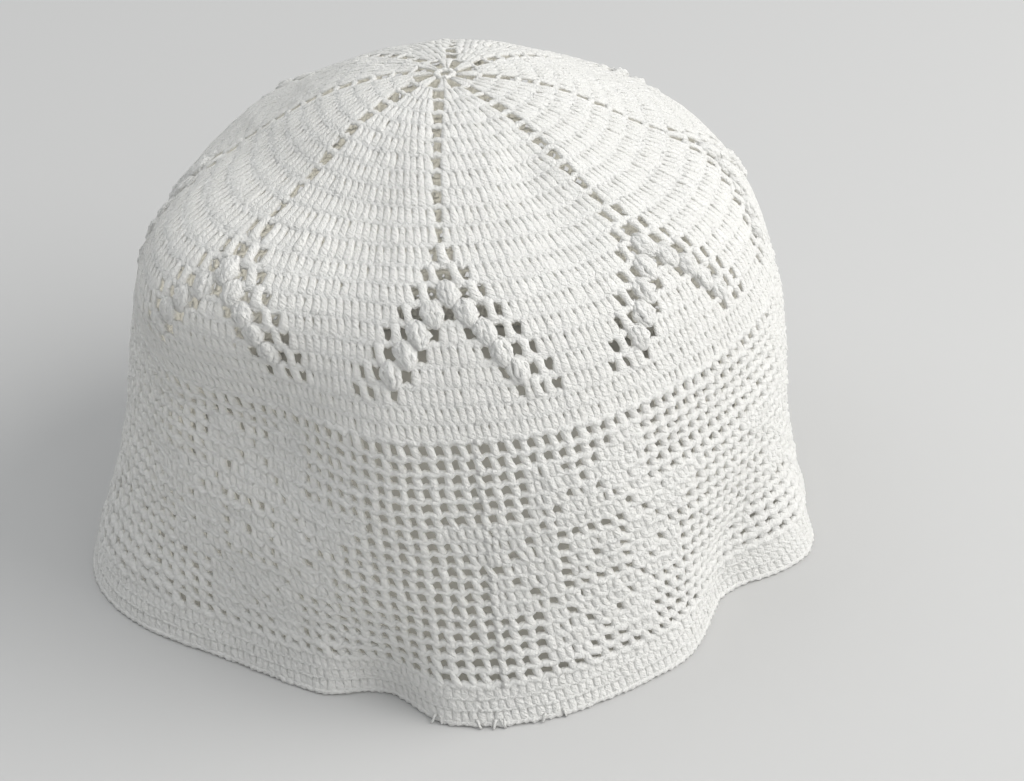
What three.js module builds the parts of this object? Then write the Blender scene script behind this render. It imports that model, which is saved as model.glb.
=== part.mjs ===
// A crocheted cotton baby bonnet of bell shape, standing on its hem.
// Millimetres, +Z up. The origin is on the surface that it stands on, in the middle of its outline.
// Azimuth 0 is the front (-Y), +90 is the wearer-side right of the picture (+X).
// The wall is worked in rounds from the crown's middle (round 0) to the hem (round 43).
import { BufferGeometry, Float32BufferAttribute, Group, Mesh, MeshStandardMaterial } from 'three';

const HEM_ROUND = 43;
const CROWN_LAST_ROUND = 21.5;     // the solid crown with its eight motifs
const SKIRT_LAST_ROUND = 39.5;     // eighteen rounds of open mesh
const SEAM_HALF_GAP_CROWN = 0.036; // in rounds: 0.15 mm at this round's height
const SEAM_HALF_GAP_SKIRT = 0.05;
const SEAM_HALF_GAP_EDGING = 0.055;

const CROWN_THICKNESS = 1.7;
const SKIRT_THICKNESS = 1.5;
const EDGING_THICKNESS = 1.8;

const AZIMUTH_STEPS = 72;
const FLAT_HEM_ROUNDS = 3;         // over the last rounds the wall's cut turns level
const CALM_CROWN_ROUNDS = 6;       // folds die out towards the crown's middle
const OUTLINE_CENTRE = { x: -3.788, y: -1.901 };   // middle of the outline, seen from above

// The meridian of the outer face before folds.
const meridian = [
  { round: 0, radius: 0.0, height: 119.34 },
  { round: 1, radius: 5.51, height: 119.27 },
  { round: 2, radius: 9.95, height: 118.97 },
  { round: 4, radius: 18.72, height: 117.48 },
  { round: 6, radius: 27.22, height: 114.84 },
  { round: 8, radius: 35.27, height: 111.05 },
  { round: 10, radius: 43.02, height: 106.69 },
  { round: 12, radius: 50.96, height: 102.66 },
  { round: 14, radius: 58.63, height: 98.17 },
  { round: 16, radius: 65.08, height: 92.07 },
  { round: 18, radius: 69.91, height: 84.61 },
  { round: 20, radius: 73.37, height: 76.41 },
  { round: 22, radius: 75.98, height: 67.9 },
  { round: 25, radius: 78.25, height: 58.19 },
  { round: 28, radius: 79.57, height: 48.31 },
  { round: 31, radius: 79.83, height: 38.34 },
  { round: 34, radius: 80.01, height: 28.37 },
  { round: 37, radius: 80.88, height: 18.44 },
  { round: 40, radius: 82.51, height: 8.6 },
  { round: 43, radius: 84.49, height: 0.0 },
];

// Dents and swellings of the wall: strongest half way between two rounds, out is radial.
const wallFolds = [
  { name: 'left_front_hollow', azimuth: -35.4, halfWidth: 26, topRound: 14, bottomRound: 34, out: -7.01 },
  { name: 'left_shoulder', azimuth: -58.1, halfWidth: 40, topRound: 8, bottomRound: 24, out: 9.58 },
  { name: 'back_left_shoulder', azimuth: -105.9, halfWidth: 50, topRound: 6, bottomRound: 24, out: -3.16 },
  { name: 'right_shoulder', azimuth: 79, halfWidth: 50, topRound: 8, bottomRound: 26, out: 1.33 },
  { name: 'front_wall', azimuth: 4.9, halfWidth: 40, topRound: 16, bottomRound: 36, out: -0.51 },
  { name: 'right_front_wall', azimuth: 44.7, halfWidth: 30, topRound: 16, bottomRound: 36, out: -2.8 },
  { name: 'back_fullness', azimuth: 180, halfWidth: 90, topRound: 4, bottomRound: 30, out: 0.87 },
];

// Waves of the hem: each grows from fromRound down to the hem.
const hemWaves = [
  { name: 'left_lobe', azimuth: -74.9, halfWidth: 34, fromRound: 26, out: 11.82 },
  { name: 'left_front_hollow', azimuth: -30.2, halfWidth: 30, fromRound: 24, out: -3.07 },
  { name: 'front_lobe', azimuth: 5.3, halfWidth: 26, fromRound: 28, out: 2.84 },
  { name: 'front_notch', azimuth: -15.3, halfWidth: 12, fromRound: 34, out: -6.14 },
  { name: 'right_front_hollow', azimuth: 54.3, halfWidth: 22, fromRound: 28, out: -8.72 },
  { name: 'right_front_rise', azimuth: 66.1, halfWidth: 16, fromRound: 30, out: 6.7 },
  { name: 'right_lobe', azimuth: 87, halfWidth: 30, fromRound: 28, out: 2.2 },
  { name: 'back_right_lobe', azimuth: 130, halfWidth: 26, fromRound: 28, out: 3.5 },
  { name: 'back_hollow', azimuth: 170, halfWidth: 24, fromRound: 28, out: -3 },
  { name: 'back_left_lobe', azimuth: -142, halfWidth: 26, fromRound: 28, out: 4 },
  { name: 'left_hollow', azimuth: -113, halfWidth: 16, fromRound: 30, out: -2.5 },
];

const smooth = (t) => { const u = Math.min(1, Math.max(0, t)); return u * u * (3 - 2 * u); };
const swell = (t) => (Math.abs(t) < 1 ? Math.cos((t * Math.PI) / 2) ** 2 : 0);
const turn = (degrees) => ((degrees + 180) % 360 + 360) % 360 - 180;

// Slope of a column of the meridian at row i, for a smooth curve through the rows.
function slope(column, i) {
  const a = meridian[Math.max(0, i - 1)];
  const b = meridian[Math.min(meridian.length - 1, i + 1)];
  return (b[column] - a[column]) / (b.round - a.round);
}

function meridianAt(column, round) {
  let i = 0;
  while (i < meridian.length - 2 && round > meridian[i + 1].round) i += 1;
  const a = meridian[i];
  const b = meridian[i + 1];
  const span = b.round - a.round;
  const t = (round - a.round) / span;
  return a[column] * (1 + 2 * t) * (1 - t) ** 2 + slope(column, i) * span * t * (1 - t) ** 2
    + b[column] * t * t * (3 - 2 * t) + slope(column, i + 1) * span * t * t * (t - 1);
}

function foldOut(azimuth, round) {
  let out = 0;
  for (const fold of wallFolds) {
    const middle = (fold.topRound + fold.bottomRound) / 2;
    const half = (fold.bottomRound - fold.topRound) / 2;
    out += fold.out * swell(turn(azimuth - fold.azimuth) / fold.halfWidth) * swell((round - middle) / half);
  }
  for (const wave of hemWaves) {
    out += wave.out * swell(turn(azimuth - wave.azimuth) / wave.halfWidth)
      * smooth((round - wave.fromRound) / (HEM_ROUND - wave.fromRound));
  }
  return out * smooth(round / CALM_CROWN_ROUNDS);
}

// A point of the wall, inset from its outer face square to the meridian, and level at the hem.
function wallPoint(azimuth, round, inset) {
  const step = 0.25;
  const above = Math.max(0, round - step);
  const below = Math.min(HEM_ROUND, round + step);
  const dr = meridianAt('radius', below) - meridianAt('radius', above);
  const dz = meridianAt('height', below) - meridianAt('height', above);
  let normalR = round === 0 ? 0 : -dz;
  let normalZ = round === 0 ? 1 : dr;
  normalZ *= 1 - smooth((round - (HEM_ROUND - FLAT_HEM_ROUNDS)) / FLAT_HEM_ROUNDS);
  const length = Math.hypot(normalR, normalZ);
  normalR /= length;
  normalZ /= length;
  const radius = meridianAt('radius', round) + foldOut(azimuth, round) - inset * normalR;
  const height = meridianAt('height', round) - inset * normalZ;
  const angle = (azimuth * Math.PI) / 180;
  return [radius * Math.sin(angle) - OUTLINE_CENTRE.x, -radius * Math.cos(angle) - OUTLINE_CENTRE.y, height];
}

// One closed wall between rounds: outer rings from top to bottom, then inner rings back up.
function wall(rounds, thickness) {
  const closedTop = rounds[0] === 0;
  const rings = [
    ...rounds.map((round) => ({ round, inset: 0 })),
    ...[...rounds].reverse().map((round) => ({ round, inset: thickness })),
  ];
  const positions = [];
  const starts = [];
  for (const ring of rings) {
    starts.push(positions.length / 3);
    const count = ring.round === 0 ? 1 : AZIMUTH_STEPS;
    for (let i = 0; i < count; i += 1) positions.push(...wallPoint((360 * i) / AZIMUTH_STEPS, ring.round, ring.inset));
  }
  const index = [];
  const pairs = closedTop ? rings.length - 1 : rings.length;
  for (let k = 0; k < pairs; k += 1) {
    const upper = k;
    const lower = (k + 1) % rings.length;
    for (let i = 0; i < AZIMUTH_STEPS; i += 1) {
      const j = (i + 1) % AZIMUTH_STEPS;
      if (rings[upper].round === 0) index.push(starts[upper], starts[lower] + i, starts[lower] + j);
      else if (rings[lower].round === 0) index.push(starts[upper] + i, starts[lower], starts[upper] + j);
      else {
        index.push(starts[upper] + i, starts[lower] + i, starts[lower] + j);
        index.push(starts[upper] + i, starts[lower] + j, starts[upper] + j);
      }
    }
  }
  const geometry = new BufferGeometry();
  geometry.setAttribute('position', new Float32BufferAttribute(positions, 3));
  geometry.setIndex(index);
  geometry.computeVertexNormals();
  return geometry;
}

function piece(name, rounds, thickness, color) {
  const mesh = new Mesh(wall(rounds, thickness), new MeshStandardMaterial({ color, roughness: 0.92, metalness: 0 }));
  mesh.name = name;
  return mesh;
}

const crownRounds = [0, 1, 2.5, 4.5, 6.5, 8.5, 10.5, 12.5, 14, 15.5, 17, 18.5, 20, CROWN_LAST_ROUND - SEAM_HALF_GAP_CROWN];
const skirtRounds = [CROWN_LAST_ROUND + SEAM_HALF_GAP_SKIRT, 24.5, 27.5, 30.5, 33.5, 36.5, SKIRT_LAST_ROUND - SEAM_HALF_GAP_SKIRT];
const edgingRounds = [SKIRT_LAST_ROUND + SEAM_HALF_GAP_EDGING, 41.2, HEM_ROUND];

const bonnet = new Group();
bonnet.add(piece('crown', crownRounds, CROWN_THICKNESS, 0xf3f2ee));
bonnet.add(piece('mesh_skirt', skirtRounds, SKIRT_THICKNESS, 0xf0efeb));
bonnet.add(piece('hem_edging', edgingRounds, EDGING_THICKNESS, 0xf4f3f0));

export default bonnet;
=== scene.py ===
import math
import bpy
import numpy as np
from mathutils import Matrix, Vector


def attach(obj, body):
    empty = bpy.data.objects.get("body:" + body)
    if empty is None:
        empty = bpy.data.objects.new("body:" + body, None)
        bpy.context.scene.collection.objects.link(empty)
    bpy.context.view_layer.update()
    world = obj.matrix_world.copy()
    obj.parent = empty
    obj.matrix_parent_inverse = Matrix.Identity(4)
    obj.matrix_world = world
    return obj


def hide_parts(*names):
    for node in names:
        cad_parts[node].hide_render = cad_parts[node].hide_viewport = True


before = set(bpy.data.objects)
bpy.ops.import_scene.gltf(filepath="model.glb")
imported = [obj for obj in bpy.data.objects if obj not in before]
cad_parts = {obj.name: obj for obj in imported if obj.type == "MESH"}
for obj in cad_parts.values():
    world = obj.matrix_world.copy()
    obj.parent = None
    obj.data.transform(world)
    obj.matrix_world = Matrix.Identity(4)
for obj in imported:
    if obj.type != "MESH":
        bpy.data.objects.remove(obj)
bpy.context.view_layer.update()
rng = np.random.default_rng(11)

# ---------------------------------------------------------------- the bonnet's surface, in millimetres
HEM_ROUND = 43.0
MID_INSET = 0.85          # the cloth's middle lies this far inside the outer face
CENTRE_X, CENTRE_Y = -3.788, -1.901
# round, radius, height
MERIDIAN = np.array([
    (0, 0.0, 119.34), (1, 5.51, 119.27), (2, 9.95, 118.97), (4, 18.72, 117.48), (6, 27.22, 114.84),
    (8, 35.27, 111.05), (10, 43.02, 106.69), (12, 50.96, 102.66), (14, 58.63, 98.17), (16, 65.08, 92.07),
    (18, 69.91, 84.61), (20, 73.37, 76.41), (22, 75.98, 67.9), (25, 78.25, 58.19), (28, 79.57, 48.31),
    (31, 79.83, 38.34), (34, 80.01, 28.37), (37, 80.88, 18.44), (40, 82.51, 8.6), (43, 84.49, 0.0)])
# azimuth, half width, top round, bottom round, out
WALL_FOLDS = [
    (-35.4, 26, 14, 34, -7.01), (-58.1, 40, 8, 24, 9.58), (-105.9, 50, 6, 24, -3.16), (79, 50, 8, 26, 1.33),
    (4.9, 40, 16, 36, -0.51), (44.7, 30, 16, 36, -2.8), (180, 90, 4, 30, 0.87)]
# azimuth, half width, from round, out
HEM_WAVES = [
    (-74.9, 34, 26, 11.82), (-30.2, 30, 24, -3.07), (5.3, 26, 28, 2.84), (-15.3, 12, 34, -6.14),
    (54.3, 22, 28, -8.72), (66.1, 16, 30, 6.7), (87, 30, 28, 2.2), (130, 26, 28, 3.5), (170, 24, 28, -3),
    (-142, 26, 28, 4), (-113, 16, 30, -2.5)]


def smooth(t):
    t = np.clip(t, 0, 1)
    return t * t * (3 - 2 * t)


def swell(t):
    return np.where(np.abs(t) < 1, np.cos(np.clip(t, -1, 1) * np.pi / 2) ** 2, 0)


def turn(d):
    return (d + 180) % 360 - 180


def meridian(col, rd):
    x, v = MERIDIAN[:, 0], MERIDIAN[:, col]
    n = len(x)
    m = np.array([(v[min(n - 1, i + 1)] - v[max(0, i - 1)]) / (x[min(n - 1, i + 1)] - x[max(0, i - 1)])
                  for i in range(n)])
    i = np.clip(np.searchsorted(x, rd, side="left") - 1, 0, n - 2)
    s = x[i + 1] - x[i]
    t = (rd - x[i]) / s
    return (v[i] * (1 + 2 * t) * (1 - t) ** 2 + m[i] * s * t * (1 - t) ** 2
            + v[i + 1] * t * t * (3 - 2 * t) + m[i + 1] * s * t * t * (t - 1))


def fold(az, rd):
    o = 0.0 * (az + rd)
    for a, w, t, b, out in WALL_FOLDS:
        o = o + out * swell(turn(az - a) / w) * swell((rd - (t + b) / 2) / ((b - t) / 2))
    for a, w, f, out in HEM_WAVES:
        o = o + out * swell(turn(az - a) / w) * smooth((rd - f) / (HEM_ROUND - f))
    return o * smooth(rd / 6)


# waves per turn, waves per 43 rounds, phase, height in mm: the cloth's own slight unevenness
LUMPS = [(5, 3, 0.4, 0.20), (9, 5, 2.1, 0.16), (14, 4, 4.0, 0.13), (23, 9, 1.3, 0.10), (31, 13, 5.2, 0.08)]


# azimuth, half width, top round, bottom round, out: the crown's soft dents between its lines of holes
DENTS = [(29, 15, 2, 17, -1.5), (44, 13, 2, 15, 1.1), (-22, 16, 5, 19, -0.8), (66, 16, 4, 17, -0.6)]


def lumps(az, rd):
    o = 0.0
    for a, w, t, b, out in DENTS:
        o = o + out * swell(turn(az - a) / w) * swell((rd - (t + b) / 2) / ((b - t) / 2))
    for n, m, phase, height in LUMPS:
        o = o + height * np.sin(np.radians(n * az) + 2 * np.pi * m * rd / 43 + phase) \
            * np.cos(2 * np.pi * (m + 1) * rd / 43 - phase)
    return o * smooth(rd / 5) * (1 - 0.6 * smooth((rd - 40) / 2))


def on_cloth(az, rd, out):
    """World metres of a point out millimetres outside the cloth's middle."""
    az, rd = np.broadcast_arrays(np.asarray(az, float), np.asarray(rd, float))
    out = out + lumps(az, rd)
    up, dn = np.maximum(0, rd - 0.25), np.minimum(HEM_ROUND, rd + 0.25)
    dr = meridian(1, dn) - meridian(1, up)
    dz = meridian(2, dn) - meridian(2, up)
    nr = np.where(rd <= 0, 0, -dz)
    nz = np.where(rd <= 0, 1, dr) * (1 - smooth((rd - (HEM_ROUND - 3)) / 3))
    ln = np.hypot(nr, nz)
    inset = MID_INSET - out
    r = meridian(1, rd) + fold(az, rd) - inset * nr / ln
    z = meridian(2, rd) - inset * nz / ln
    a = np.radians(az)
    return np.stack([r * np.sin(a) - CENTRE_X, -r * np.cos(a) - CENTRE_Y, z], -1) * 0.001


def radius_at(az, rd):
    return np.maximum(0.6, meridian(1, np.asarray(rd, float)) + fold(az, rd))


# ---------------------------------------------------------------- joined yarn meshes
class Yarn:
    """Many closed strands in one mesh; each vertex keeps how far along and round its strand it lies."""

    def __init__(self, name):
        self.name, self.co, self.uv, self.tone = name, [], [], []
        self.quads, self.tris, self.n = [], [], 0

    def strands(self, pts, along, tone, closed=False):
        """pts: (count, rings, sides, 3); along: (count, rings) in mm; tone: (count,)"""
        c, r, s, _ = pts.shape
        idx = self.n + np.arange(c * r * s).reshape(c, r, s)
        a = idx if closed else idx[:, :-1]
        b = np.roll(idx, -1, 1) if closed else idx[:, 1:]
        self.quads.append(np.stack([a, np.roll(a, -1, 2), np.roll(b, -1, 2), b], -1).reshape(-1, 4))
        if not closed:
            for ring, flip in ((0, False), (-1, True)):
                e = idx[:, ring]
                fan = np.stack([np.repeat(e[:, :1], s - 2, 1), e[:, 1:-1], e[:, 2:]], -1)
                self.tris.append((fan if flip else fan[..., ::-1]).reshape(-1, 3))
        self.co.append(pts.reshape(-1, 3))
        v = np.broadcast_to(np.arange(s) / s, (c, r, s))
        u = np.broadcast_to(np.asarray(along)[..., None], (c, r, s))
        self.uv.append(np.stack([u, v], -1).reshape(-1, 2))
        self.tone.append(np.broadcast_to(np.asarray(tone, float)[:, None, None], (c, r, s)).reshape(-1))
        self.n += c * r * s

    def triangles(self):
        return 2 * sum(len(q) for q in self.quads) + sum(len(t) for t in self.tris)

    def build(self, material, node):
        mesh = bpy.data.meshes.new(self.name)
        co = np.concatenate(self.co)
        quads = np.concatenate(self.quads)
        tris = np.concatenate(self.tris) if self.tris else np.zeros((0, 3), int)
        loops = np.concatenate([quads.ravel(), tris.ravel()]).astype(np.int32)
        starts = np.concatenate([np.arange(len(quads)) * 4, len(quads) * 4 + np.arange(len(tris)) * 3]).astype(np.int32)
        mesh.vertices.add(len(co))
        mesh.vertices.foreach_set("co", co.ravel().astype(np.float32))
        mesh.loops.add(len(loops))
        mesh.loops.foreach_set("vertex_index", loops)
        mesh.polygons.add(len(starts))
        mesh.polygons.foreach_set("loop_start", starts)
        mesh.update(calc_edges=True)
        mesh.polygons.foreach_set("use_smooth", np.ones(len(starts), bool))
        layer = mesh.uv_layers.new(name="yarn")
        layer.data.foreach_set("uv", np.concatenate(self.uv)[loops].ravel().astype(np.float32))
        att = mesh.attributes.new("tone", "FLOAT", "POINT")
        att.data.foreach_set("value", np.concatenate(self.tone).astype(np.float32))
        mesh.materials.append(material)
        obj = bpy.data.objects.new(self.name, mesh)
        bpy.context.scene.collection.objects.link(obj)
        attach(obj, "root")
        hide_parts(node)
        print("PIECE", self.name, self.triangles())
        return obj


def column(values):
    return np.asarray(values, float)


# a stitch's post down its round: place, half width as a part of its width, half depth and outward in mm
POST_CROWN = column([
    (0.00, 0.48, 0.34, 0.04), (0.13, 0.51, 0.42, 0.07), (0.32, 0.49, 0.44, 0.09), (0.52, 0.66, 0.44, 0.10),
    (0.78, 0.74, 0.43, 0.10), (0.92, 0.62, 0.40, 0.10), (1.00, 0.40, 0.26, 0.06)])
POST_SINGLE = column([
    (0.00, 0.80, 0.44, -0.04), (0.14, 0.72, 0.60, 0.10), (0.36, 0.56, 0.64, 0.16), (0.60, 0.58, 0.64, 0.16),
    (0.84, 0.74, 0.56, 0.10), (1.00, 0.80, 0.36, 0.02)])
POST_MESH = column([
    (0.00, 0.54, 0.44, -0.05), (0.14, 0.86, 0.68, 0.05), (0.45, 0.77, 0.80, 0.05), (0.80, 0.90, 0.74, 0.07),
    (1.00, 0.60, 0.48, 0.05)])
POST_HEM = column([
    (0.00, 0.54, 0.46, 0.00), (0.22, 0.54, 0.60, 0.05), (0.50, 0.68, 0.62, 0.07), (0.80, 0.74, 0.58, 0.07),
    (1.00, 0.66, 0.44, 0.03)])


def posts(yarn, shape, az, top, bottom, width, lean=0.0, sides=7, lobe=0.12, jitter=0.1, bow=0.0, fuzz=0.04):
    """Stitch posts. az in degrees at mid height, top and bottom in rounds, width in mm, lean in degrees."""
    n = len(az)
    if n == 0:
        return
    az, top, bottom, width, lean = [np.broadcast_to(np.asarray(v, float), (n,)) for v in
                                    (az, top, bottom, width, lean)]
    t = shape[:, 0][None, :]
    rd = (top[:, None] + (bottom - top)[:, None] * t) + jitter * rng.normal(0, 0.35, (n, 1))
    az_c = az[:, None] + lean[:, None] * (t - 0.5)
    r = radius_at(az[:, None], rd)
    grow = (r / radius_at(az, (top + bottom) / 2)[:, None]) ** 0.9
    size = width[:, None] * grow * (1 + jitter * rng.normal(0, 0.7, (n, 1)))
    shift = jitter * (rng.normal(0, 1.2, (n, 1)) + rng.normal(0, 2.6, (n, 1)) * (t - 0.5)
                      + rng.normal(0, 1.4, (n, 1)) * np.sin(np.pi * t)) + bow * width[:, None] * np.sin(np.pi * t)
    out_c = shape[:, 3][None, :] + jitter * rng.normal(0, 1.0, (n, 1))
    phi = -np.pi / 2 + 2 * np.pi * np.arange(sides) / sides
    wind = rng.uniform(0, np.pi, (n, 1)) + 1.1 * np.pi * t
    lobes = 1 + lobe * np.cos(2 * (phi - wind[..., None])) + rng.normal(0, fuzz, (n, len(shape), sides))
    height = np.abs(meridian(2, bottom) - meridian(2, top)) + np.abs(meridian(1, bottom) - meridian(1, top))
    dx = (shift * np.ones_like(rd))[..., None] + (shape[:, 1][None, :] * size)[..., None] * np.cos(phi) * lobes
    dw = out_c[..., None] + shape[:, 2][None, :, None] * np.sin(phi) * lobes
    a = az_c[..., None] + np.degrees(dx / r[..., None])
    pts = on_cloth(a, np.minimum(np.broadcast_to(rd[..., None], a.shape), 42.9), dw)
    yarn.strands(pts, t * height[:, None] + rng.uniform(0, 5, (n, 1)), rng.normal(0, 1, n))


# azimuth, how far the mesh closes there: 0 where it is stretched open, 1 where its holes are pinched small
CLOSED = column([(-180, 0.7), (-110, 0.5), (-70, 0.5), (-34, 0.7), (-18, 0.7), (-8, 0.0), (6, 0.0), (18, 0.42),
                 (30, 0.82), (46, 0.95), (80, 0.8), (120, 0.5), (180, 0.7)])


def closed(az):
    return np.interp(turn(np.asarray(az, float)), CLOSED[:, 0], CLOSED[:, 1])


def per_round(rd):
    """Millimetres of cloth from one round to the next."""
    rd = np.asarray(rd, float)
    lo, hi = np.maximum(0, rd - 0.5), np.minimum(43, rd + 0.5)
    return np.hypot(meridian(2, hi) - meridian(2, lo), meridian(1, hi) - meridian(1, lo)) / (hi - lo)


def round_chain(yarn, rd, stitches, half_v, half_d, out=0.0, phase=0.0, per=3, sides=6, bead=0.18, slant=0.0,
                wobble=0.03, rough=0.0, side=0.0, limit=42.995):
    """The chain of loops that closes a round, as one ring. half_v and half_d in mm, slant in rounds a stitch."""
    n = int(stitches * per)
    s = np.arange(n) / n
    az = 360 * s + phase
    step = s * stitches
    cyc = np.cos(2 * np.pi * step)
    slow = sum(rng.normal(0, wobble) * np.cos(2 * np.pi * k * s + rng.uniform(0, 6.28)) for k in (3, 5, 8, 13, 29))
    saw = ((step + 0.5) % 1.0) - 0.5
    each = rng.normal(0, 1, stitches)[(step + 0.5).astype(int) % stitches]
    mm = float(per_round(rd))
    phi = -np.pi / 2 + 2 * np.pi * np.arange(sides) / sides
    lobe = 1 + 0.12 * np.cos(2 * (phi[None, :] - np.pi * step[:, None])) + rng.normal(0, 0.075, (n, sides))
    fat = (1 + bead * cyc + rough * each) * (1 + side * closed(az))
    hv = (half_v * fat)[:, None] * np.sin(phi) * lobe
    hd = (half_d * fat)[:, None] * np.cos(phi) * lobe
    rdp = rd + (slow + slant * saw + 0.25 * rough * each)[:, None] + hv / mm
    pts = on_cloth(np.broadcast_to(az[:, None], rdp.shape), np.clip(rdp, 0, limit), hd + out)
    length = 2 * np.pi * float(meridian(1, np.array(rd)))
    yarn.strands(pts[None], (s * length)[None], np.zeros(1), closed=True)


# ---------------------------------------------------------------- crown
LINE_TURN = column([(0, -45), (1, -28), (2, -10.6), (3, -7.8), (5, -6.5), (8, -5.2), (11, -3.9), (14, -1.7),
                    (18, -1.0), (22, -0.8)])
STITCHES = {12: 24, 13: 26, 14: 27, 15: 29, 16: 30, 17: 32, 18: 33, 19: 34, 20: 35, 21: 36}
# gore lines from the front one round to the right: half width of their holes, in stitches
HOLE_HALF = [0.67, 0.64, 0.60, 0.64, 0.64, 0.64, 0.69, 0.88]
# one half of a motif, mirrored: round, holes, single posts, bobbles, run of wedge posts to each side, half extent
MOTIF = {
    12: dict(holes=[1.0], posts=[0.0], bobbles=[], wedge=None, extent=1.5),
    13: dict(holes=[0.0, 2.5], posts=[1.5], bobbles=[], wedge=None, extent=3.0),
    14: dict(holes=[2.0, 4.0], posts=[3.0], bobbles=[0.0], wedge=None, extent=4.5),
    15: dict(holes=[0.0, 4.0, 6.0], posts=[5.0], bobbles=[2.0], wedge=None, extent=6.5),
    16: dict(holes=[2.2, 6.0, 8.0], posts=[7.0], bobbles=[4.1], wedge=1, extent=8.5),
    17: dict(holes=[4.1, 8.0, 10.0], posts=[9.0], bobbles=[6.1], wedge=3, extent=10.5),
    18: dict(holes=[6.0, 9.9, 11.9], posts=[10.9], bobbles=[8.0], wedge=5, extent=12.4),
    19: dict(holes=[7.8, 11.0, 13.0], posts=[9.0, 10.0, 12.0], bobbles=[], wedge=7, extent=13.5)}


def low(rd):
    """The motif's rounds sit a little lower than even spacing would put them."""
    return rd + 0.29 * smooth((rd - 10.0) / 3.2) * (1 - smooth((rd - 18.6) / 2.9))


def line_turn(rd):
    return np.interp(rd, LINE_TURN[:, 0], LINE_TURN[:, 1])


crown_upper, crown_lower = Yarn("crown_upper_stitches"), Yarn("crown_lower_stitches")
crown_chains, bobble_yarn = Yarn("crown_round_chains"), Yarn("crown_bobbles")
bobble_list = []

for k in range(1, 22):
    m = 2 * k + 1 if k <= 11 else STITCHES[k]
    pitch = 45.0 / m
    azs, wid, single, single_wid = [], [], [], []
    for g in range(8):
        line = 45.0 * g + line_turn(k)
        nxt = 45.0 * (g + 1) + line_turn(k)
        if k <= 11:
            grow = (1 + 0.3 * smooth((5 - k) / 4)) * (1.0 if k < 9 else (0.9, 0.8, 0.7)[k - 9])
            half, half_n = HOLE_HALF[g] * grow, HOLE_HALF[(g + 1) % 8] * grow
            lo, hi, cnt = line + half * pitch, nxt - half_n * pitch, 2 * k
        elif k <= 19:
            mo = MOTIF[k]
            for p in mo["posts"]:
                for sgn in ((1, -1) if p else (1,)):
                    single.append(line + sgn * p * pitch)
                    single_wid.append(pitch * 1.05)
            for p in mo["bobbles"]:
                for sgn in ((1, -1) if p else (1,)):
                    bobble_list.append((line + sgn * p * pitch, k, pitch))
            if mo["wedge"]:
                for p in range(-mo["wedge"], mo["wedge"] + 1):
                    azs.append(line + p * pitch)
                    wid.append(pitch)
            lo, hi = line + mo["extent"] * pitch, nxt - mo["extent"] * pitch
            cnt = max(1, int(round(m - 2 * mo["extent"])))
        else:
            lo, hi, cnt = line, nxt, m
        step = (hi - lo) / cnt
        azs += list(lo + step * (np.arange(cnt) + 0.5))
        wid += [step] * cnt
    azs, wid = np.array(azs), np.array(wid)
    width = np.radians(wid) * radius_at(azs, float(k))
    posts(crown_upper if k <= 14 else crown_lower, POST_CROWN, azs, low(k - 0.50), low(k + 0.52),
          width * (1.2 if k == 1 else 1.0), lean=0.44 * pitch, lobe=0.05, jitter=0.05, bow=0.13, fuzz=0.045)
    if single:
        single, single_wid = np.array(single), np.array(single_wid)
        posts(crown_lower, POST_SINGLE, single, low(k - 0.56), low(k + 0.56),
              np.radians(single_wid) * radius_at(single, low(float(k))), lean=0.8 * pitch, jitter=0.11, fuzz=0.09)
    round_chain(crown_chains, low(k + 0.5), 8 * m, 0.62 if k <= 2 else 1.04 if 12 <= k <= 19 else 0.88,
                0.38, out=0.05, phase=rng.uniform(0, 5), per=3, sides=6, bead=0.10, slant=0.14, wobble=0.006,
                rough=0.05)

# the ring of chains that the crown starts from
round_chain(crown_chains, 0.34, 8, 0.72, 0.66, out=0.0, per=6, sides=8, bead=0.14, wobble=0.0)


def bobble(yarn, az, k, pitch):
    """A cluster of uneven posts drawn together at top and bottom."""
    n = 7
    t = np.array([0, 0.08, 0.18, 0.29, 0.40, 0.51, 0.62, 0.73, 0.84, 0.93, 1.0])[None, :]
    ang = np.pi * (np.arange(n)[:, None] + 0.5) / n * 1.16 - 0.08 * np.pi + rng.normal(0, 0.10, (n, 1)) \
        + rng.normal(0, 0.22, (n, 1)) * (t - 0.5)
    body = np.sin(np.pi * t ** 0.86) ** 0.62
    sway = 0.17 * np.sin(2 * np.pi * 2.3 * t + rng.uniform(0, 6.28, (n, 1))) + rng.normal(0, 0.07, (n, t.shape[1]))
    belly_x = (1.72 * np.cos(ang) * (1 + rng.normal(0, 0.07, (n, 1))) + sway) * body
    belly_w = (0.95 * np.sin(ang) * (1 + rng.normal(0, 0.14, (n, 1))) - 0.15) * body + 0.10
    rad = (0.36 + 0.48 * body) * (1 + rng.normal(0, 0.10, (n, 1))) * (1 + rng.normal(0, 0.10, (n, t.shape[1])))
    rd = low(k - 0.70 + 1.44 * t + rng.normal(0, 0.035, (n, 1)))
    r = radius_at(az, float(k))
    phi = -np.pi / 2 + 2 * np.pi * np.arange(6) / 6
    lean = 1.3 * (t - 0.5) + rng.normal(0, 0.15)
    ply = 1 + 0.20 * np.cos(2 * (phi - (rng.uniform(0, 3.14, (n, 1)) + 7.0 * t)[..., None])) \
        + rng.normal(0, 0.05, (n, t.shape[1], 6))
    dx = (belly_x + lean)[..., None] + rad[..., None] * np.cos(phi) * ply
    dw = belly_w[..., None] + rad[..., None] * np.sin(phi) * 0.9 * ply
    a = az + np.degrees(dx / r)
    rdd = np.broadcast_to(rd[..., None], a.shape)
    pts = on_cloth(a, rdd, dw)
    yarn.strands(pts, np.repeat(t * 6.2, n, 0) + rng.uniform(0, 5, (n, 1)), rng.normal(0, 1, n))


for az, k, pitch in bobble_list:
    bobble(bobble_yarn, az, k, pitch)

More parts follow.
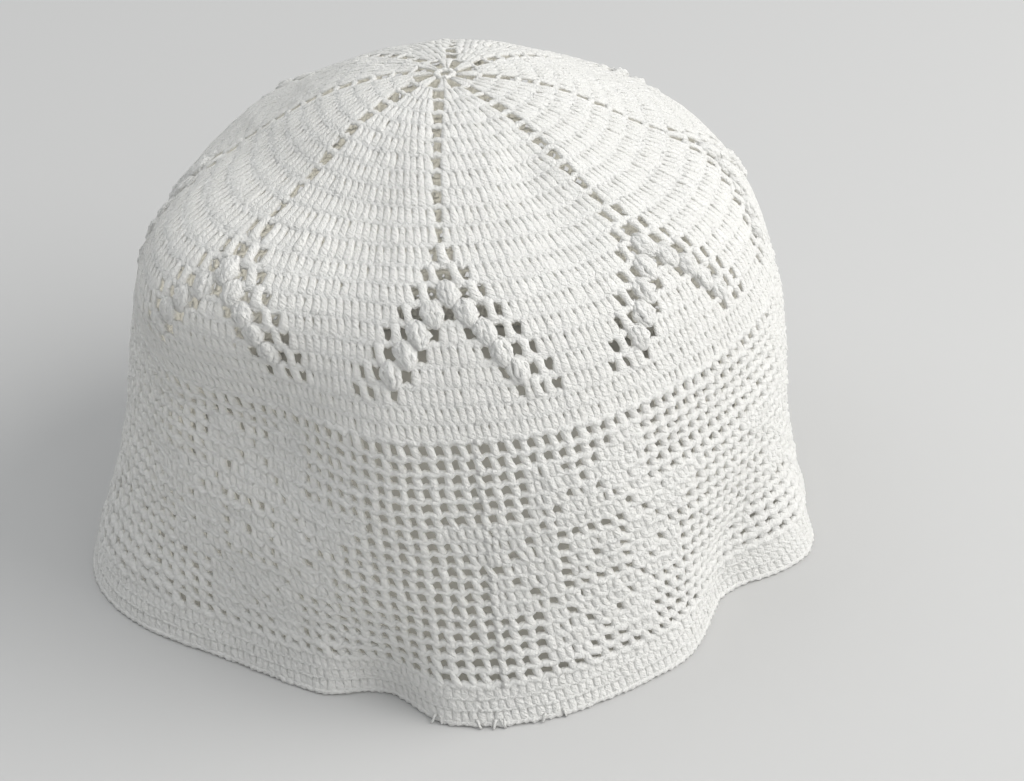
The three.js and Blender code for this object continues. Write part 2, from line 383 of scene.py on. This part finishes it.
# ---------------------------------------------------------------- mesh skirt
CELLS = 144
REPEAT = 24
# filled cells of one flower, from its middle column outwards on both sides, and extra ones on the right
FLOWER = {
    23: ([], [(3, 4)]), 24: ([(2, 3)], [(4, 4)]), 25: ([(1, 3)], [(4, 4)]), 26: ([(0, 0), (2, 3)], [(4, 4)]),
    27: ([(0, 1), (3, 3)], [(4, 4)]), 28: ([(0, 2), (4, 9)], []), 29: ([(3, 3), (5, 8)], []),
    30: ([(0, 1), (3, 4), (6, 7)], []), 31: ([(1, 1), (3, 5)], []), 32: ([(0, 1), (3, 4), (6, 6)], []),
    33: ([(3, 3), (5, 6)], []), 34: ([(0, 2), (4, 6)], []), 35: ([(0, 1), (3, 3)], []),
    36: ([(0, 0), (2, 3)], []), 37: ([(1, 3)], []), 38: ([(2, 3)], [])}
FLOWER_COLUMN = 7


def filled(column_index, k):
    if k not in FLOWER:
        return False
    rel = (column_index - FLOWER_COLUMN + REPEAT // 2) % REPEAT - REPEAT // 2
    both, right = FLOWER[k]
    return any(a <= abs(rel) <= b for a, b in both) or any(a <= rel <= b for a, b in right)


def cell_azimuth(column_index, rd):
    """Azimuth of a cell's middle: the columns drift a little round and give way to the folds."""
    az = 18.6 + 2.5 * (np.asarray(column_index, float) - 7) + 0.12 * (rd - 25)
    az = az + 1.6 * swell(turn(az - 24) / 20) * smooth((rd - 25) / 9)
    return az + 1.3 * swell(turn(az + 45) / 42)


skirt_upper, skirt_lower = Yarn("skirt_upper_posts"), Yarn("skirt_lower_posts")
skirt_chains = Yarn("skirt_round_chains")
for k in range(22, 40):
    cols = np.arange(CELLS)
    rd = float(k)
    az = [cell_azimuth(cols + 0.5, rd)]
    fill = np.array([filled(c, k) for c in cols])
    az.append(cell_azimuth(cols[fill], rd))
    az = np.concatenate(az)
    near = np.concatenate([fill | np.roll(fill, -1), np.ones(int(fill.sum()), bool)])
    width = np.where(near, 1.20, 1.10) * (1 + 0.34 * closed(az)) * (1 + 0.08 * smooth((rd - 33) / 4))
    posts(skirt_upper if k < 31 else skirt_lower, POST_MESH, az, k - 0.62, k + 0.62, width,
          lean=1.0, jitter=0.10, fuzz=0.09)
for k in range(21, 40):
    round_chain(skirt_chains, k + 0.5, CELLS, 0.78 + 0.20 * smooth((k - 33) / 4), 0.76, out=0.03, phase=float(cell_azimuth(0.5, k + 0.5)), per=4,
                sides=6, bead=0.12, slant=0.20, wobble=0.012, rough=0.11, side=0.30)

# ---------------------------------------------------------------- hem edging
hem = Yarn("hem_stitches")
HEM_ROUNDS = [(39.5, 40.55), (40.55, 41.55), (41.55, 42.5)]
for i, (top, bottom) in enumerate(HEM_ROUNDS):
    az = (np.arange(288) + 0.5 * (i % 2)) * 1.25 + 0.4
    width = np.radians(1.25) * radius_at(az, (top + bottom) / 2)
    last = i == 2
    posts(hem, POST_HEM, az, top - 0.05, bottom + (0.25 if last else 0.05), width, lean=0.35, lobe=0.08, jitter=0.05, fuzz=0.05)
    round_chain(hem, 42.70 if last else bottom, 288, 0.80 if last else 0.66, 0.80 if last else 0.62,
                out=0.12 if last else 0.08, phase=0.3 * i, per=3, sides=6, bead=0.10,
                wobble=0.0 if last else 0.006, rough=0.06, slant=0.0 if last else 0.08)



def thread_end(yarn, az, side, length, radius):
    """A short frayed end that lies out from the hem's lower edge."""
    a = math.radians(az)
    outward, across = np.array([math.sin(a), -math.cos(a), 0]), np.array([math.cos(a), math.sin(a), 0])
    t = np.linspace(0, 1, 7)[:, None]
    base = on_cloth(az, 42.5, 0.45)
    path = base + 0.001 * length * (outward * 0.8 * t + across * side * (0.9 * t * t + 0.15 * np.sin(5 * t)))
    path[:, 2] = base[2] * (1 - t[:, 0]) ** 1.5 + 0.0004 + 0.0005 * np.sin(np.pi * t[:, 0])
    along = np.gradient(path, axis=0)
    level = np.cross(along, [0, 0, 1.0])
    level /= np.linalg.norm(level, axis=1)[:, None]
    phi = 2 * np.pi * np.arange(6) / 6
    rad = 0.001 * radius * (1 - 0.30 * t[:, :1])
    ring = rad[..., None] * (level[:, None, :] * np.cos(phi)[None, :, None]
                             + np.array([0, 0, 1.0]) * np.sin(phi)[None, :, None])
    pts = path[:, None, :] + ring
    pts[..., 2] = np.maximum(pts[..., 2], 0.00004)
    yarn.strands(pts[None], (t[:, 0] * length)[None], rng.normal(0, 1, 1))


# azimuth, to which side, length, half thickness: the frayed ends at the front, in mm
FRAYED = column([(-6.6, -0.9, 1.6, 0.42), (-5.9, 0.5, 1.3, 0.40), (-0.4, 0.9, 1.4, 0.42), (2.4, -0.6, 1.7, 0.44),
                 (3.1, 0.9, 1.3, 0.40), (3.6, 0.2, 1.5, 0.36), (9.8, -0.9, 1.4, 0.40), (12.6, 0.7, 1.2, 0.38)])
for az, side, length, radius in FRAYED:
    thread_end(hem, az, side, length, radius)

# ---------------------------------------------------------------- cotton
def cotton_material():
    mat = bpy.data.materials.new("cotton_thread")
    mat.use_nodes = True
    nt = mat.node_tree
    nt.nodes.clear()
    out = nt.nodes.new("ShaderNodeOutputMaterial")
    bsdf = nt.nodes.new("ShaderNodeBsdfPrincipled")
    link = nt.links.new
    uv = nt.nodes.new("ShaderNodeUVMap")
    uv.uv_map = "yarn"
    sep = nt.nodes.new("ShaderNodeSeparateXYZ")
    link(uv.outputs["UV"], sep.inputs[0])

    def math_node(op, a, b=None, clamp=False):
        n = nt.nodes.new("ShaderNodeMath")
        n.operation = op
        n.use_clamp = clamp
        for i, v in enumerate((a, b)):
            if v is None:
                continue
            if isinstance(v, (int, float)):
                n.inputs[i].default_value = v
            else:
                link(v, n.inputs[i])
        return n.outputs[0]

    # plies: bands that wind round each strand, and the fibres that run along them
    wind = math_node("ADD", math_node("MULTIPLY", sep.outputs["X"], 2 * math.pi / 3.0),
                     math_node("MULTIPLY", sep.outputs["Y"], 2 * math.pi * 1.5))
    ply = math_node("ABSOLUTE", math_node("SINE", wind))
    tone = nt.nodes.new("ShaderNodeAttribute")
    tone.attribute_name = "tone"
    along = nt.nodes.new("ShaderNodeCombineXYZ")
    link(math_node("ADD", math_node("MULTIPLY", sep.outputs["X"], 0.7), math_node("MULTIPLY", tone.outputs["Fac"], 9.0)),
         along.inputs[0])
    link(math_node("ADD", math_node("MULTIPLY", sep.outputs["Y"], 15.0), math_node("MULTIPLY", sep.outputs["X"], 1.8)),
         along.inputs[1])
    fibre = nt.nodes.new("ShaderNodeTexNoise")
    fibre.inputs["Scale"].default_value = 1.0
    fibre.inputs["Detail"].default_value = 1.5
    link(along.outputs[0], fibre.inputs["Vector"])
    pos = nt.nodes.new("ShaderNodeTexCoord")
    fuzz = nt.nodes.new("ShaderNodeTexNoise")
    fuzz.inputs["Scale"].default_value = 2300.0
    fuzz.inputs["Detail"].default_value = 2.0
    link(pos.outputs["Object"], fuzz.inputs["Vector"])
    patch = nt.nodes.new("ShaderNodeTexNoise")
    patch.inputs["Scale"].default_value = 45.0
    patch.inputs["Detail"].default_value = 2.0
    link(pos.outputs["Object"], patch.inputs["Vector"])

    height = math_node("ADD", math_node("MULTIPLY", ply, 0.22),
                       math_node("ADD", math_node("MULTIPLY", fibre.outputs["Fac"], 1.0),
                                 math_node("MULTIPLY", fuzz.outputs["Fac"], 1.5)))
    bump = nt.nodes.new("ShaderNodeBump")
    bump.inputs["Strength"].default_value = 0.9
    bump.inputs["Distance"].default_value = 0.00042
    link(height, bump.inputs["Height"])

    # white cotton, a little creamier in patches; the grooves between plies are painted creamier and darker as painted
    # shade
    mix1 = nt.nodes.new("ShaderNodeMixRGB")
    mix1.inputs["Color1"].default_value = (0.85, 0.846, 0.815, 1)
    mix1.inputs["Color2"].default_value = (0.91, 0.908, 0.888, 1)
    # painted shade: the ply term darkens the grooves between plies; the patch and tone terms are the cotton's own
    # uneven tone
    tone_and_ply_groove_shade = math_node("ADD", math_node("MULTIPLY", ply, 0.55),
                      math_node("ADD", math_node("MULTIPLY", patch.outputs["Fac"], 0.5),
                                math_node("MULTIPLY", tone.outputs["Fac"], 0.10)), clamp=True)
    link(tone_and_ply_groove_shade, mix1.inputs["Fac"])
    link(mix1.outputs["Color"], bsdf.inputs["Base Color"])
    link(bump.outputs["Normal"], bsdf.inputs["Normal"])
    bsdf.inputs["Roughness"].default_value = 0.88
    bsdf.inputs["Specular IOR Level"].default_value = 0.25
    bsdf.inputs["Sheen Weight"].default_value = 0.18
    bsdf.inputs["Sheen Roughness"].default_value = 0.5
    # thin cotton lets some light through to the inside
    through = nt.nodes.new("ShaderNodeBsdfTranslucent")
    link(mix1.outputs["Color"], through.inputs["Color"])
    both = nt.nodes.new("ShaderNodeMixShader")
    both.inputs[0].default_value = 0.25
    link(bsdf.outputs[0], both.inputs[1])
    link(through.outputs[0], both.inputs[2])
    link(both.outputs[0], out.inputs["Surface"])
    return mat


cotton = cotton_material()
crown_upper.build(cotton, "crown")
crown_lower.build(cotton, "crown")
crown_chains.build(cotton, "crown")
bobble_yarn.build(cotton, "crown")
skirt_upper.build(cotton, "mesh_skirt")
skirt_lower.build(cotton, "mesh_skirt")
skirt_chains.build(cotton, "mesh_skirt")
hem.build(cotton, "hem_edging")

# ---------------------------------------------------------------- floor, light, camera
bpy.ops.mesh.primitive_plane_add(size=6.0, location=(0, 0, 0))
floor = bpy.context.object
floor.name = "floor"
floor_mat = bpy.data.materials.new("pale_floor")
floor_mat.use_nodes = True
fb = floor_mat.node_tree.nodes["Principled BSDF"]
fb.inputs["Base Color"].default_value = (0.50, 0.50, 0.495, 1)
fb.inputs["Roughness"].default_value = 1.0
fb.inputs["Specular IOR Level"].default_value = 0.1
floor.data.materials.append(floor_mat)

scene = bpy.context.scene
world = bpy.data.worlds.new("studio")
scene.world = world
world.use_nodes = True
bg = world.node_tree.nodes["Background"]
bg.inputs[0].default_value = (0.96, 0.98, 1.0, 1)
bg.inputs[1].default_value = 0.61


def area_light(name, position, target, size, power, color):
    data = bpy.data.lights.new(name, "AREA")
    data.shape = "DISK"
    data.size = size
    data.energy = power
    data.color = color
    obj = bpy.data.objects.new(name, data)
    scene.collection.objects.link(obj)
    obj.location = position
    obj.rotation_euler = (Vector(target) - Vector(position)).to_track_quat("-Z", "Y").to_euler()
    return obj


area_light("window", (1.10, -0.14, 0.84), (0, 0, 0.06), 1.35, 20.0, (1.0, 0.985, 0.965))
area_light("top_fill", (-0.62, 0.25, 1.25), (0, 0, 0.08), 1.2, 4.1, (0.99, 0.995, 1.0))
area_light("front_fill", (0.78, -1.05, 0.45), (0, 0, 0.05), 1.2, 4.4, (1.0, 0.99, 0.97))
inner = area_light("inner_fill", (0, 0, 0.004), (0, 0, 1), 0.06, 0.085, (1.0, 0.955, 0.84))
inner.visible_camera = False

CAMERA_AT = (0.003788, -0.421542, 0.319366)
CAMERA_RIGHT = (0.998262, -0.05032, -0.030682)
CAMERA_UP = (0.053652, 0.560423, 0.826467)
CAMERA_FORWARD = (0.024393, 0.826677, -0.562148)
cam_data = bpy.data.cameras.new("camera")
cam_data.sensor_width = 36.0
cam_data.lens = 72.196
camera = bpy.data.objects.new("camera", cam_data)
scene.collection.objects.link(camera)
rows = [[CAMERA_RIGHT[i], CAMERA_UP[i], -CAMERA_FORWARD[i], CAMERA_AT[i]] for i in range(3)] + [[0, 0, 0, 1]]
camera.matrix_world = Matrix(rows)
scene.camera = camera
scene.view_settings.view_transform = "Standard"
scene.view_settings.exposure = 0.0
